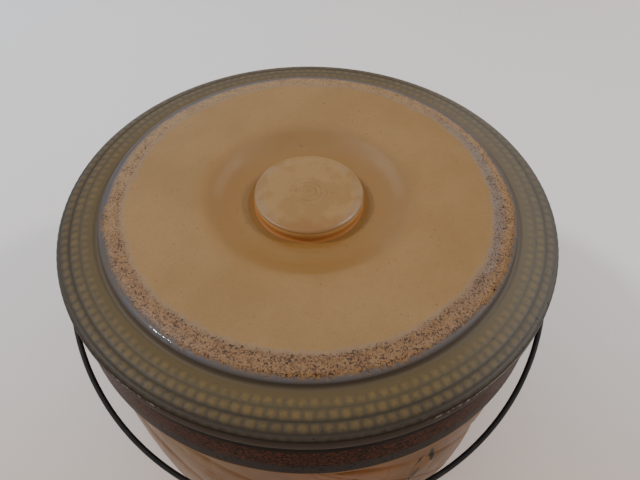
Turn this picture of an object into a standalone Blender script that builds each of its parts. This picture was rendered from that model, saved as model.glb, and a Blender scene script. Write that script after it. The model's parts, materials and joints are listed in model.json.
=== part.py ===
"""A round stoneware butter crock with a loose turned lid and a wire bail that swings over it.

Metres, +Z up. The origin is the centre of the crock's flat base. The bail hinges about a line along X
through the two moulded ears, and rests against the front of the crock, at -Y.
"""

import math

import bpy

# The gap that neighbouring pieces keep where they touch.
CONTACT_GAP = 0.0003

# Lid. Its plane is the height of its widest circle.
LID_RADIUS = 0.100
LID_PLANE = 0.120
LID_PLATE_RISE = 0.0070
LID_SEAT_DROP = 0.0057
LID_EDGE_ROUND = 0.0012
BEAD_BAND_INNER = 0.0883
GROOVE_RADIUS = 0.0840
RIDGE_RADIUS = 0.0832
WELL_OUTER = 0.0440
WELL_INNER = 0.0300
WELL_FLOOR_RISE = 0.0012
KNOB_RADIUS = 0.0222
KNOB_TOP_RISE = 0.0075
PLATE_THICKNESS = 0.0070
WELL_THICKNESS = 0.0066
RING_OUTER = 0.0865
RING_INNER = 0.0817
RING_DEPTH = 0.0071

# Crock.
BASE_RADIUS = 0.0922
SHOULDER_RADIUS = 0.0962
SHOULDER_HEIGHT = 0.0872
BODY_FLARE = 2.0
BASE_ROUND = 0.0028
COLLAR_RADIUS = 0.0990
COLLAR_BOTTOM = 0.0900
RIM_HEIGHT = LID_PLANE - LID_SEAT_DROP - CONTACT_GAP
RIM_ROUND = 0.0020
MOUTH_RADIUS = 0.0880
MOUTH_BOTTOM = 0.0980
WALL_THICKNESS = 0.0085
FLOOR_THICKNESS = 0.0095
FLOOR_FILLET = 0.0100

# Ears, one on each side, each with a blind socket for one end of the bail.
PIVOT_HEIGHT = 0.0940
EAR_FACE_X = 0.1015
EAR_ROOT_X = 0.0900
EAR_ROOT_RADIUS = 0.0125
EAR_FACE_RADIUS = 0.0085
EAR_BEVEL = 0.0015
SOCKET_RADIUS = 0.0024
SOCKET_BOTTOM_X = 0.0925

# Bail: straight legs and a bow that is half an ellipse.
WIRE_RADIUS = 0.0012
BAIL_HALF_WIDTH = 0.1040
BAIL_REACH = 0.1120
BAIL_LEG = 0.0111
BAIL_END_X = 0.0935
BAIL_HOOK_RADIUS = 0.0030
BAIL_REST_ANGLE = math.radians(29.9)

TURNED_STEPS = 64
MERGE_DISTANCE = 0.00001


def clear_scene():
    for scene_object in list(bpy.data.objects):
        bpy.data.objects.remove(scene_object)


def new_collection(name):
    collection = bpy.data.collections.new(name)
    bpy.context.scene.collection.children.link(collection)
    return collection


def new_material(name, srgb, roughness, metallic=0.0):
    """A Principled material whose colour is given in sRGB, from 0 to 1."""
    material = bpy.data.materials.new(name)
    material.use_nodes = True
    shader = material.node_tree.nodes["Principled BSDF"]
    linear = [channel ** 2.2 for channel in srgb]
    shader.inputs["Base Color"].default_value = (*linear, 1.0)
    shader.inputs["Roughness"].default_value = roughness
    shader.inputs["Metallic"].default_value = metallic
    return material


def arc(centre, radius, start_degrees, end_degrees, steps):
    """Points round an arc in the profile's plane, both ends included."""
    points = []
    for step in range(steps + 1):
        angle = math.radians(start_degrees + (end_degrees - start_degrees) * step / steps)
        points.append((centre[0] + radius * math.cos(angle), centre[1] + radius * math.sin(angle)))
    return points


def smooth_step(share):
    share = min(1.0, max(0.0, share))
    return share * share * (3.0 - 2.0 * share)


def turned_object(name, profile, collection, material=None):
    """A solid of revolution about Z. The profile's (radius, height) points run down its outer side."""
    mesh = bpy.data.meshes.new(name)
    points = [(radius, 0.0, height) for radius, height in profile]
    edges = [(index, index + 1) for index in range(len(points) - 1)]
    mesh.from_pydata(points, edges, [])
    turned = bpy.data.objects.new(name, mesh)
    collection.objects.link(turned)
    screw = turned.modifiers.new("Turn", "SCREW")
    screw.axis = "Z"
    screw.angle = math.tau
    screw.steps = TURNED_STEPS
    screw.render_steps = TURNED_STEPS
    screw.use_merge_vertices = True
    screw.merge_threshold = MERGE_DISTANCE
    screw.use_smooth_shade = True
    if material:
        mesh.materials.append(material)
    return turned


def body_radius(height):
    """The crock's outer radius, which flares from the base to the shoulder under the collar."""
    share = min(1.0, height / SHOULDER_HEIGHT)
    return BASE_RADIUS + (SHOULDER_RADIUS - BASE_RADIUS) * (1.0 - (1.0 - share) ** BODY_FLARE)


def crock_profile():
    """From the middle of the floor up the inside, over the rim, down the outside and across the base."""
    fillet_wall = body_radius(FLOOR_THICKNESS + FLOOR_FILLET) - WALL_THICKNESS
    fillet_centre = (fillet_wall - FLOOR_FILLET, FLOOR_THICKNESS + FLOOR_FILLET)
    inside = [(0.0, FLOOR_THICKNESS)]
    inside += arc(fillet_centre, FLOOR_FILLET, -90, 0, 4)
    for height in (0.040, 0.065, SHOULDER_HEIGHT):
        inside.append((body_radius(height) - WALL_THICKNESS, height))
    inside.append((MOUTH_RADIUS, MOUTH_BOTTOM))

    rim = arc((MOUTH_RADIUS + RIM_ROUND, RIM_HEIGHT - RIM_ROUND), RIM_ROUND, 180, 90, 3)
    rim += arc((COLLAR_RADIUS - RIM_ROUND, RIM_HEIGHT - RIM_ROUND), RIM_ROUND, 90, 0, 3)

    collar_round = 0.0012
    outside = arc((COLLAR_RADIUS - collar_round, COLLAR_BOTTOM + collar_round), collar_round, 0, -60, 2)
    outside_heights = (SHOULDER_HEIGHT, 0.078, 0.062, 0.045, 0.028, 0.013, BASE_ROUND)
    outside += [(body_radius(height), height) for height in outside_heights]
    base_edge_radius = body_radius(BASE_ROUND)
    outside += arc((base_edge_radius - BASE_ROUND, BASE_ROUND), BASE_ROUND, -30, -90, 2)
    outside.append((0.0, 0.0))
    return inside + rim + outside


def ear_shape(side, collection):
    """One moulded ear: a short cone that stands out of the wall along X."""
    length = EAR_FACE_X - EAR_ROOT_X
    bpy.ops.mesh.primitive_cone_add(
        vertices=32,
        radius1=EAR_ROOT_RADIUS,
        radius2=EAR_FACE_RADIUS,
        depth=length,
        location=(side * (EAR_ROOT_X + length / 2), 0.0, PIVOT_HEIGHT),
        rotation=(0.0, side * math.pi / 2, 0.0),
    )
    ear = move_to_collection(bpy.context.object, collection)
    bevel = ear.modifiers.new("Soft edge", "BEVEL")
    bevel.width = EAR_BEVEL
    bevel.segments = 3
    bevel.limit_method = "ANGLE"
    return ear


def socket_shape(side, collection):
    """The cutter of one ear's blind socket."""
    mouth_x = EAR_FACE_X + 0.004
    length = mouth_x - SOCKET_BOTTOM_X
    bpy.ops.mesh.primitive_cylinder_add(
        vertices=24,
        radius=SOCKET_RADIUS,
        depth=length,
        location=(side * (SOCKET_BOTTOM_X + length / 2), 0.0, PIVOT_HEIGHT),
        rotation=(0.0, math.pi / 2, 0.0),
    )
    return move_to_collection(bpy.context.object, collection)


def move_to_collection(moved, collection):
    for owner in list(moved.users_collection):
        owner.objects.unlink(moved)
    collection.objects.link(moved)
    return moved


def add_boolean(target, operation, operand):
    """Joins or cuts target with operand, which is then only a guide."""
    modifier = target.modifiers.new(operand.name, "BOOLEAN")
    modifier.operation = operation
    modifier.object = operand
    operand.hide_render = True
    operand.display_type = "WIRE"


def build_crock(parts, cutters, material):
    crock = turned_object("crock", crock_profile(), parts, material)
    for side, side_name in ((-1, "left"), (1, "right")):
        ear = ear_shape(side, cutters)
        ear.name = f"ear_{side_name}"
        add_boolean(crock, "UNION", ear)
    for side, side_name in ((-1, "left"), (1, "right")):
        socket = socket_shape(side, cutters)
        socket.name = f"socket_{side_name}"
        add_boolean(crock, "DIFFERENCE", socket)
    return crock


def lid_top_profile():
    """Heights above the lid's plane, from the knob's middle out to the edge."""
    knob_round = 0.0016
    knob_foot = KNOB_RADIUS - 0.0008
    points = [(0.0, KNOB_TOP_RISE - 0.0002)]
    points += arc((KNOB_RADIUS - knob_round, KNOB_TOP_RISE - knob_round), knob_round, 90, 0, 3)
    points.append((knob_foot, WELL_FLOOR_RISE + 0.0006))
    points.append((knob_foot + 0.0012, WELL_FLOOR_RISE))
    shoulder_steps = 6
    for step in range(shoulder_steps + 1):
        share = step / shoulder_steps
        radius = WELL_INNER + (WELL_OUTER - WELL_INNER) * share
        rise = WELL_FLOOR_RISE + (LID_PLATE_RISE - WELL_FLOOR_RISE) * smooth_step(share)
        points.append((radius, rise))
    points.append((0.0730, LID_PLATE_RISE))
    points.append((0.0800, LID_PLATE_RISE - 0.0009))
    points += arc((RIDGE_RADIUS - 0.0012, 0.0048), 0.0012, 75, 0, 2)
    points.append((GROOVE_RADIUS, 0.0018))
    points.append((BEAD_BAND_INNER, 0.0030))
    points.append((0.0925, 0.0026))
    points.append((0.0965, 0.0019))
    points.append((0.0990, 0.0010))
    return points


def lid_underside_profile():
    """Heights above the lid's plane, from the widest circle down the lip and in to the middle."""
    seat = -LID_SEAT_DROP
    ring_bottom = seat - RING_DEPTH
    points = [(LID_RADIUS, 0.0)]
    points += arc((LID_RADIUS - LID_EDGE_ROUND, seat + LID_EDGE_ROUND), LID_EDGE_ROUND, 0, -90, 3)
    points.append((RING_OUTER, seat))
    points.append((RING_OUTER, ring_bottom + 0.0008))
    points.append((RING_OUTER - 0.0008, ring_bottom))
    points.append((RING_INNER + 0.0008, ring_bottom))
    points.append((RING_INNER, ring_bottom + 0.0008))
    underside = LID_PLATE_RISE - PLATE_THICKNESS
    well_underside = WELL_FLOOR_RISE - WELL_THICKNESS
    points.append((RING_INNER - 0.0004, underside - 0.0015))
    points.append((RING_INNER - 0.0019, underside))
    points.append((WELL_OUTER + 0.0030, underside))
    points.append((WELL_INNER + 0.0060, well_underside))
    points.append((0.0, well_underside))
    return points


def build_lid(parts, material):
    profile = [(radius, LID_PLANE + rise) for radius, rise in lid_top_profile() + lid_underside_profile()]
    return turned_object("lid", profile, parts, material)


def bail_bow(x):
    """How far the bow reaches from the hinge line at a place across the bail."""
    return BAIL_LEG + (BAIL_REACH - BAIL_LEG) * math.sqrt(max(0.0, 1.0 - (x / BAIL_HALF_WIDTH) ** 2))


def bail_path():
    """Points along the wire in the bail's own plane: across, and away from the hinge line."""
    half = [(BAIL_END_X, 0.0), (0.0970, 0.0)]
    hook_centre = (BAIL_HALF_WIDTH - BAIL_HOOK_RADIUS, BAIL_HOOK_RADIUS)
    half += arc(hook_centre, BAIL_HOOK_RADIUS, -90, 0, 4)
    half.append((BAIL_HALF_WIDTH, BAIL_LEG / 2))
    bow_steps = 32
    for step in range(bow_steps):
        across = BAIL_HALF_WIDTH * math.cos(math.pi / 2 * step / bow_steps)
        half.append((across, bail_bow(across)))
    other_half = [(-across, reach) for across, reach in reversed(half)]
    return half + [(0.0, BAIL_REACH)] + other_half


def hinge_empty(parts):
    """The bail's hinge line, turned so that its local Y points along the resting bail."""
    hinge = bpy.data.objects.new("bail_hinge", None)
    parts.objects.link(hinge)
    hinge.location = (0.0, 0.0, PIVOT_HEIGHT)
    hinge.rotation_euler = (math.pi + BAIL_REST_ANGLE, 0.0, 0.0)
    return hinge


def build_bail_wire(parts, hinge, material):
    curve = bpy.data.curves.new("bail_wire_path", "CURVE")
    curve.dimensions = "3D"
    curve.bevel_depth = WIRE_RADIUS
    curve.bevel_resolution = 2
    curve.use_fill_caps = True
    spline = curve.splines.new("POLY")
    path = bail_path()
    spline.points.add(len(path) - 1)
    for point, (across, reach) in zip(spline.points, path):
        point.co = (across, reach, 0.0, 1.0)
    curve.materials.append(material)
    wire = bpy.data.objects.new("bail_wire", curve)
    parts.objects.link(wire)
    wire.parent = hinge
    return wire


def main():
    clear_scene()
    parts = new_collection("butter_crock")
    cutters = new_collection("cutters")
    crock_glaze = new_material("crock_glaze", (0.55, 0.43, 0.32), 0.22)
    lid_glaze = new_material("lid_glaze", (0.60, 0.48, 0.33), 0.20)
    black_wire = new_material("black_wire", (0.12, 0.11, 0.11), 0.50, 0.3)
    build_crock(parts, cutters, crock_glaze)
    build_lid(parts, lid_glaze)
    hinge = hinge_empty(parts)
    build_bail_wire(parts, hinge, black_wire)


main()
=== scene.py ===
"""The looks of the stoneware butter crock: a beaded lid, a glazed crock and a black wire bail.

Metres, +Z up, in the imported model's frame. Every piece is built round the place of its CAD node.
"""

import json
import math

import bmesh
import bpy
import numpy as np
from mathutils import Matrix, Vector


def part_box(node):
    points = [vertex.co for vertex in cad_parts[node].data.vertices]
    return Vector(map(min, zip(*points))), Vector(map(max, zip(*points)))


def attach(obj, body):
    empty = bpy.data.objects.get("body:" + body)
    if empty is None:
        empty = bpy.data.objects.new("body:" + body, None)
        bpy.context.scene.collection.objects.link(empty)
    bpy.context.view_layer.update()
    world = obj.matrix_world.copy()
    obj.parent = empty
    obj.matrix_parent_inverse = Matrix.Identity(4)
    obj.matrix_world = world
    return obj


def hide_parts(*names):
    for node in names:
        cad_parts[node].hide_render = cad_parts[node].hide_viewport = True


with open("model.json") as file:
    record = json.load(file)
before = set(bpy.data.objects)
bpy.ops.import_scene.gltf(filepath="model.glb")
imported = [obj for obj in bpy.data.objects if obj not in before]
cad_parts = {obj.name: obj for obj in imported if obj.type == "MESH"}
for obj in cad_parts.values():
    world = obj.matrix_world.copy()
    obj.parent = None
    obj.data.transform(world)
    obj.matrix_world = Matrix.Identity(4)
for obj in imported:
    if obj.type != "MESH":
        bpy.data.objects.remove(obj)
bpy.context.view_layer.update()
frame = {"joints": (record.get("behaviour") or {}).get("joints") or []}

# Places and sizes that the CAD nodes give.
LID_LOW, LID_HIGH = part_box("lid")
_, CROCK_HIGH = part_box("crock")
WIRE_LOW, WIRE_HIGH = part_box("bail_wire")
JOINTS = {joint["name"]: joint for joint in frame["joints"]}
PIVOT = Vector(JOINTS["bail_swing"]["pos_m"])
BAIL_REST_ANGLE = math.radians((JOINTS["bail_swing"]["range_deg"][1] - 180.0) / 2)

LID_RADIUS = (LID_HIGH.x - LID_LOW.x) / 2
KNOB_RISE = 0.0075
LID_PLANE = LID_HIGH.z - KNOB_RISE
RIM_HEIGHT = CROCK_HIGH.z

# Lid, as rises above the lid's plane.
PLATE_RISE = 0.0070
WELL_RISE = 0.0012
SEAT_RISE = -0.0057
RING_BOTTOM_RISE = LID_LOW.z - LID_PLANE
RING_OUTER = 0.0865
RING_INNER = 0.0817
KNOB_RADIUS = 0.0222
WELL_RADIUS = 0.0375
RIDGE_RADIUS = 0.0830
LIP_START_RADIUS = 0.0970
BEAD_COUNT = 152
BEAD_ROWS = 4
BEAD_ROW_PITCH = 0.0041
BEAD_HEIGHT = 0.00036
BEAD_BAND_START = 0.0864
ROW_STRENGTH = (0.75, 0.95, 1.00, 0.55)
GROOVE_STRENGTH = (0.10, 0.55, 1.00, 0.95, 0.75)
STEPS_PER_BEAD = 8
FINE_STEPS = BEAD_COUNT * STEPS_PER_BEAD
COARSE_STEPS = FINE_STEPS // 4
SPARSE_STEPS = COARSE_STEPS // 4

# Crock.
BASE_RADIUS = 0.0922
SHOULDER_RADIUS = 0.0962
SHOULDER_HEIGHT = 0.0872
BODY_FLARE = 2.0
COLLAR_RADIUS = CROCK_HIGH.y
COLLAR_BOTTOM = 0.0885
MOUTH_RADIUS = 0.0880
MOUTH_BOTTOM = 0.0980
WALL_THICKNESS = 0.0085
FLOOR_THICKNESS = 0.0095
EAR_FACE_X = CROCK_HIGH.x
EAR_ROOT_X = 0.0900
EAR_ROOT_RADIUS = 0.0125
EAR_FACE_RADIUS = 0.0085
SOCKET_RADIUS = 0.0024
SOCKET_BOTTOM_X = 0.0925
CROCK_STEPS = 720

# Bail.
WIRE_RADIUS = 0.0012
BAIL_HALF_WIDTH = WIRE_HIGH.x - WIRE_RADIUS
BAIL_REACH = (PIVOT.z - WIRE_LOW.z - WIRE_RADIUS * math.cos(BAIL_REST_ANGLE)) / math.sin(BAIL_REST_ANGLE)
BAIL_LEG = 0.0111
BAIL_END_X = 0.0935
BAIL_HOOK_RADIUS = 0.0030


# ---------------------------------------------------------------- shared shape helpers

def smooth_step(share):
    share = np.clip(share, 0.0, 1.0)
    return share * share * (3.0 - 2.0 * share)


def arc(centre, radius, start_degrees, end_degrees, steps):
    angles = np.radians(np.linspace(start_degrees, end_degrees, steps + 1))
    return [(centre[0] + radius * math.cos(a), centre[1] + radius * math.sin(a)) for a in angles]


def corner_cut(points, times):
    """Rounds an open outline by cutting its corners, as Chaikin's rule does. Its ends stay."""
    outline = np.array(points, float)
    for _ in range(times):
        near = outline[:-1] * 0.75 + outline[1:] * 0.25
        far = outline[:-1] * 0.25 + outline[1:] * 0.75
        middle = np.stack([near, far], 1).reshape(-1, 2)
        outline = np.vstack([outline[:1], middle[1:-1], outline[-1:]])
    return outline


def respaced(outline, spacing):
    """The same outline with points about spacing apart along it."""
    lengths = np.linalg.norm(np.diff(outline, axis=0), axis=1)
    along = np.concatenate([[0.0], np.cumsum(lengths)])
    count = max(2, int(round(along[-1] / spacing)) + 1)
    places = np.linspace(0.0, along[-1], count)
    return np.stack([np.interp(places, along, outline[:, axis]) for axis in (0, 1)], 1)


def outward_normals(outline):
    """Unit normals of a (radius, height) outline that runs down its outer side."""
    slope = np.gradient(outline, axis=0)
    normals = np.stack([-slope[:, 1], slope[:, 0]], 1)
    return normals / np.linalg.norm(normals, axis=1, keepdims=True)


def wander(angle, height, seed, reach=3):
    """A slow, even unevenness of a surface of revolution, between about -1 and 1."""
    draw = np.random.default_rng(seed)
    total = 0.0
    for turns in range(1, reach + 1):
        phase = draw.uniform(0, math.tau)
        lean = draw.uniform(-30, 30)
        total = total + np.sin(turns * angle + lean * height + phase) / turns
    return total / 1.5


class TurnedMesh:
    """Rings of points round the Z axis, each joined to the one before it.

    Neighbouring rings have the same number of points, or one has a whole multiple of the other's.
    Each mark is a value that the rings carry for the material, from 0 to 1.
    """

    def __init__(self, mark_names):
        self.points = []
        self.faces = []
        self.marks = {name: [] for name in mark_names}
        self.last = None

    def ring(self, radius, height, steps, **marks):
        start = sum(len(block) for block in self.points)
        if radius is None:
            block = np.array([[0.0, 0.0, height]])
            steps = 1
        else:
            angle = ring_angles(steps)
            radius = np.broadcast_to(radius, angle.shape)
            height = np.broadcast_to(height, angle.shape)
            block = np.stack([radius * np.cos(angle), radius * np.sin(angle), height], 1)
        self.points.append(block)
        for name, values in self.marks.items():
            values.append(np.broadcast_to(marks.get(name, 0.0), (steps,)).astype(float))
        if self.last:
            self.join(self.last, (start, steps))
        self.last = (start, steps)

    def join(self, inner, outer):
        inner_start, inner_steps = inner
        outer_start, outer_steps = outer
        sides = max(1, min(inner_steps, outer_steps))
        if sides == 1:
            sides = max(inner_steps, outer_steps)
        inner_span = inner_steps // sides
        outer_span = outer_steps // sides
        for side in range(sides):
            inner_run = [
                inner_start + (side * inner_span + k) % inner_steps for k in range(inner_span + 1)
            ]
            outer_run = [
                outer_start + (side * outer_span + k) % outer_steps for k in range(outer_span + 1)
            ]
            if inner_steps == 1:
                inner_run = [inner_start]
            if outer_steps == 1:
                outer_run = [outer_start]
            self.faces.append(outer_run + inner_run[::-1])

    def build(self, name):
        mesh = bpy.data.meshes.new(name)
        mesh.from_pydata(np.vstack(self.points).tolist(), [], self.faces)
        for mark, values in self.marks.items():
            attribute = mesh.attributes.new(mark, "FLOAT", "POINT")
            attribute.data.foreach_set("value", np.concatenate(values).astype(np.float32))
        mesh.shade_smooth()
        piece = bpy.data.objects.new(name, mesh)
        bpy.context.scene.collection.objects.link(piece)
        return piece


def ring_angles(steps):
    return np.arange(steps) / steps * math.tau


# ---------------------------------------------------------------- shader helpers

class Shader:
    """A node material built with short calls. Sockets are passed on from call to call."""

    def __init__(self, name):
        self.material = bpy.data.materials.new(name)
        self.material.use_nodes = True
        self.tree = self.material.node_tree
        self.principled = self.tree.nodes["Principled BSDF"]
        self.coordinates = self.add("ShaderNodeTexCoord").outputs["Object"]

    def add(self, kind, settings=(), **inputs):
        node = self.tree.nodes.new(kind)
        for key, value in dict(settings).items():
            setattr(node, key, value)
        for key, value in inputs.items():
            self.feed(node.inputs[key.replace("_", " ")], value)
        return node

    def feed(self, socket, value):
        if isinstance(value, bpy.types.NodeSocket):
            self.tree.links.new(value, socket)
        else:
            socket.default_value = value

    def math(self, operation, first, second=0.0, clamp=False):
        node = self.add("ShaderNodeMath", {"operation": operation, "use_clamp": clamp})
        self.feed(node.inputs[0], first)
        self.feed(node.inputs[1], second)
        return node.outputs[0]

    def band(self, value, low, high, soft):
        """1 where value is between low and high, fading to 0 over soft."""
        rise = self.span(value, low - soft, low)
        fall = self.span(value, high + soft, high)
        return self.math("MULTIPLY", rise, fall)

    def span(self, value, start, end):
        """0 at start and 1 at end, smooth between them."""
        node = self.add("ShaderNodeMapRange", {"interpolation_type": "SMOOTHSTEP"})
        self.feed(node.inputs["Value"], value)
        backward = start > end
        node.inputs["From Min"].default_value = min(start, end)
        node.inputs["From Max"].default_value = max(start, end)
        node.inputs["To Min"].default_value = 1.0 if backward else 0.0
        node.inputs["To Max"].default_value = 0.0 if backward else 1.0
        return node.outputs["Result"]

    def noise(self, scale, detail=2.0, roughness=0.5, stretch=(1, 1, 1)):
        place = self.coordinates
        if tuple(stretch) != (1, 1, 1):
            place = self.add("ShaderNodeMapping", Vector=place, Scale=stretch).outputs[0]
        node = self.add("ShaderNodeTexNoise", Vector=place, Scale=scale, Detail=detail, Roughness=roughness)
        return node.outputs["Fac"]

    def mix(self, share, first, second, blend="MIX"):
        node = self.add("ShaderNodeMix", {"data_type": "RGBA", "blend_type": blend})
        self.feed(node.inputs[0], share)
        self.feed(node.inputs[6], first)
        self.feed(node.inputs[7], second)
        return node.outputs[2]

    def attribute(self, name):
        return self.add("ShaderNodeAttribute", {"attribute_name": name}).outputs["Fac"]

    def axes(self):
        return self.add("ShaderNodeSeparateXYZ", Vector=self.coordinates).outputs

    def radius(self):
        x, y, _ = self.axes()
        squares = self.math("ADD", self.math("POWER", x, 2.0), self.math("POWER", y, 2.0))
        return self.math("SQRT", squares)

    def bump(self, height, distance, strength=1.0, before=None):
        node = self.add("ShaderNodeBump", Height=height, Distance=distance, Strength=strength)
        if before is not None:
            self.feed(node.inputs["Normal"], before)
        return node.outputs[0]

    def set(self, name, value):
        self.feed(self.principled.inputs[name], value)


def colour(red, green, blue):
    """An sRGB colour, each channel from 0 to 255, as a linear one."""
    linear = []
    for channel in (red, green, blue):
        share = channel / 255.0
        linear.append(share / 12.92 if share <= 0.04045 else ((share + 0.055) / 1.055) ** 2.4)
    return (*linear, 1.0)


# ---------------------------------------------------------------- materials

# Lid: the plate, the well and the knob.
TAN = colour(138, 105, 60)
TAN_PALE = colour(147, 113, 69)
TAN_DEEP = colour(132, 97, 49)
TAN_GRAIN = colour(112, 84, 50)
AMBER = colour(136, 82, 38)
AMBER_GLAZE_AND_LIGHT = colour(214, 156, 92)
AMBER_SIDE = colour(188, 120, 62)
AMBER_CLOUD = colour(136, 84, 40)
AMBER_RUN = colour(132, 88, 42)
KNOB_EDGE_SHEEN = colour(128, 92, 52)
TURNING_MARK = colour(112, 82, 50)
MILKY_GLAZE_AND_SHEEN = colour(116, 106, 98)
MILKY_WARM_SHEEN = colour(158, 130, 100)

# Lid: the speckled ring and the ridge.
PEACH = colour(145, 115, 78)
PEACH_DEEP = colour(134, 100, 63)
STAIN = colour(100, 66, 30)
SPECK = colour(86, 52, 22)
SPECK_DARK = colour(40, 28, 23)
SPECK_DEEP = colour(46, 25, 8)
BLUE_GREY = colour(88, 81, 77)
BLUE_GREY_COOL = colour(86, 82, 86)
RIDGE_STEP_SHADE = colour(84, 71, 58)
RIDGE_FOOT_GLAZE_AND_SHADE = colour(84, 71, 54)

# Lid: the beaded band and the lip.
OLIVE = colour(90, 75, 50)
BEAD_TOP = colour(114, 90, 52)
BEAD_TOP_FADED = colour(104, 86, 56)
BEAD_TOP_OUTER = colour(95, 77, 46)
BEAD_GAP = colour(82, 70, 48)
BEAD_GAP_OUTER = colour(58, 49, 36)
BEAD_GROOVE = colour(48, 41, 32)
BEAD_ROOM_SHEEN = colour(128, 126, 120)
BAND_EDGE = colour(56, 50, 44)
RIM_CREASE = colour(28, 22, 17)
LIP = colour(54, 45, 36)
LIP_HIGHLIGHT = colour(150, 142, 132)

# Crock: the collar and the body.
IRON = colour(35, 23, 16)
RUST = colour(80, 44, 28)
COLLAR_BLUE = colour(50, 46, 44)
COLLAR_SPOT = colour(12, 9, 8)
COLLAR_LID_SHADOW = colour(16, 12, 10)
CREAM = colour(140, 110, 72)
BODY_PALE = colour(116, 86, 54)
BODY_TAN = colour(102, 68, 36)
BODY_RUN_AND_LIGHT_LEFT = colour(134, 112, 86)
BODY_RUN_AND_SHADE_RIGHT = colour(98, 80, 58)
AMBER_PATCH = colour(122, 76, 36)
AMBER_CREASE = colour(120, 74, 36)
BRUSHED = colour(18, 17, 17)

# Bare clay, under the lid and under the base.
BARE_CLAY = colour(166, 144, 112)
BARE_CLAY_DARK = colour(150, 126, 94)
BASE_CLAY_DARK = colour(150, 126, 96)

# Wire.
LACQUER = colour(26, 24, 25)
LACQUER_RUBBED = colour(52, 40, 34)

# Floor and wall.
PAPER = colour(240, 234, 230)
PAPER_CLOUD = colour(232, 226, 222)
PAPER_NEAR = colour(231, 202, 181)
PAPER_BEHIND_SHADE = colour(214, 196, 182)
PAPER_FAR_LEFT_LIGHT = colour(244, 248, 252)


def speckles(shader, scale, threshold, soft, amount):
    """Small irregular specks, more of them where amount is larger."""
    grains = shader.noise(scale, 2.0, 0.65)
    lifted = shader.math("ADD", grains, amount)
    return shader.span(lifted, threshold, threshold + soft)


def glaze_finish(shader, roughness, pits=0.00002, waves=0.00010):
    """The slightly uneven skin of a fired glaze. Its gloss follows the roughness that is passed in."""
    ripples = shader.noise(140.0, 2.0, 0.5)
    grain = shader.noise(1500.0, 2.0, 0.5)
    skin = shader.bump(ripples, waves)
    skin = shader.bump(grain, pits, 1.0, skin)
    shader.set("Normal", skin)
    patchy = shader.math("MULTIPLY", shader.math("SUBTRACT", shader.noise(90.0, 3.0, 0.6), 0.5), 0.14)
    shader.set("Roughness", shader.math("ADD", patchy, roughness))


def knob_and_well(shader, plate, radius, height, right, front):
    """Amber glaze where it pools round the knob, pale glaze with painted sheen on the left and right of the
    knob's bevel, painted light on the knob's side, and painted sheen on the well's shoulders.
    """
    well = shader.band(radius, 0.0, WELL_RADIUS, 0.009)
    plate = shader.mix(shader.math("MULTIPLY", well, 0.8), plate, TAN_DEEP)
    clouds = shader.span(shader.noise(55.0, 3.0, 0.6), 0.40, 0.65)
    warm = shader.math("MULTIPLY", shader.math("MULTIPLY", well, clouds), 0.15)
    plate = shader.mix(warm, plate, AMBER_CLOUD)
    # Painted sheen: a pale warm patch on the well's left and right shoulders stands in for the side lights'
    # reflection.
    sheen_sides = shader.math("MULTIPLY", shader.span(shader.math("ABSOLUTE", right), 0.60, 0.85),
                        shader.band(front, -0.55, -0.15, 0.25))
    shoulder = shader.math("MULTIPLY", shader.band(radius, 0.0368, 0.0380, 0.0026), sheen_sides)
    plate = shader.mix(shader.math("MULTIPLY", shoulder, 0.22), plate, MILKY_WARM_SHEEN)
    patches = shader.span(shader.noise(90.0, 3.0, 0.6), 0.46, 0.60)
    inner = shader.band(radius, 0.0, KNOB_RADIUS, 0.0002)
    raised = shader.math("MULTIPLY", inner, shader.span(height, LID_PLANE + 0.0056, LID_PLANE + 0.0064))
    plate = shader.mix(raised, plate, shader.mix(patches, TAN, TAN_PALE))
    waves = shader.math("SINE", shader.math("MULTIPLY", radius, math.tau / 0.0023))
    worn = shader.span(shader.noise(260.0, 3.0, 0.6), 0.35, 0.65)
    rings = shader.math("MULTIPLY", shader.span(waves, 0.1, 0.9), shader.band(radius, 0.0, 0.0060, 0.0030))
    rings = shader.math("MULTIPLY", shader.math("MULTIPLY", rings, worn), 0.45)
    plate = shader.mix(shader.math("MULTIPLY", rings, raised), plate, TURNING_MARK)
    # Partly pale glaze, partly painted sheen: a pale edge on the knob's bevel, kept to its left and right
    # sides where the side lights glint.
    edge = shader.math("MULTIPLY", shader.span(radius, 0.0180, 0.0190), raised)
    edge_sheen_tint = shader.mix(patches, KNOB_EDGE_SHEEN, MILKY_GLAZE_AND_SHEEN)
    edge = shader.math("MULTIPLY", edge, shader.span(shader.math("ABSOLUTE", right), 0.40, 0.85))
    plate = shader.mix(shader.math("MULTIPLY", edge, 0.20), plate, edge_sheen_tint)
    ragged = shader.math("MULTIPLY", shader.math("SUBTRACT", shader.noise(130.0, 3.0, 0.6), 0.5), 0.014)
    near_edge = shader.math("ADD", shader.math("MULTIPLY", radius, front), ragged)
    runny = shader.math("MULTIPLY", shader.span(near_edge, 0.0120, 0.0200), raised)
    plate = shader.mix(shader.math("MULTIPLY", runny, 0.75), plate, AMBER_RUN)
    # Partly amber glaze, partly painted light: the knob's side is painted pale amber, palest near its top
    # and deeper amber towards the foot.
    side = shader.math("MULTIPLY", shader.math("SUBTRACT", 1.0, raised), inner)
    side = shader.math("MULTIPLY", side, shader.span(radius, 0.0205, 0.0212))
    downward = shader.span(height, LID_PLANE + 0.0046, LID_PLANE + 0.0016)
    side_glaze_and_light = shader.mix(downward, AMBER_GLAZE_AND_LIGHT, AMBER_SIDE)
    plate = shader.mix(shader.math("MULTIPLY", side, 0.85), plate, side_glaze_and_light)
    return shader.mix(shader.span(shader.attribute("pooled"), 0.05, 1.0), plate, AMBER)


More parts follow.
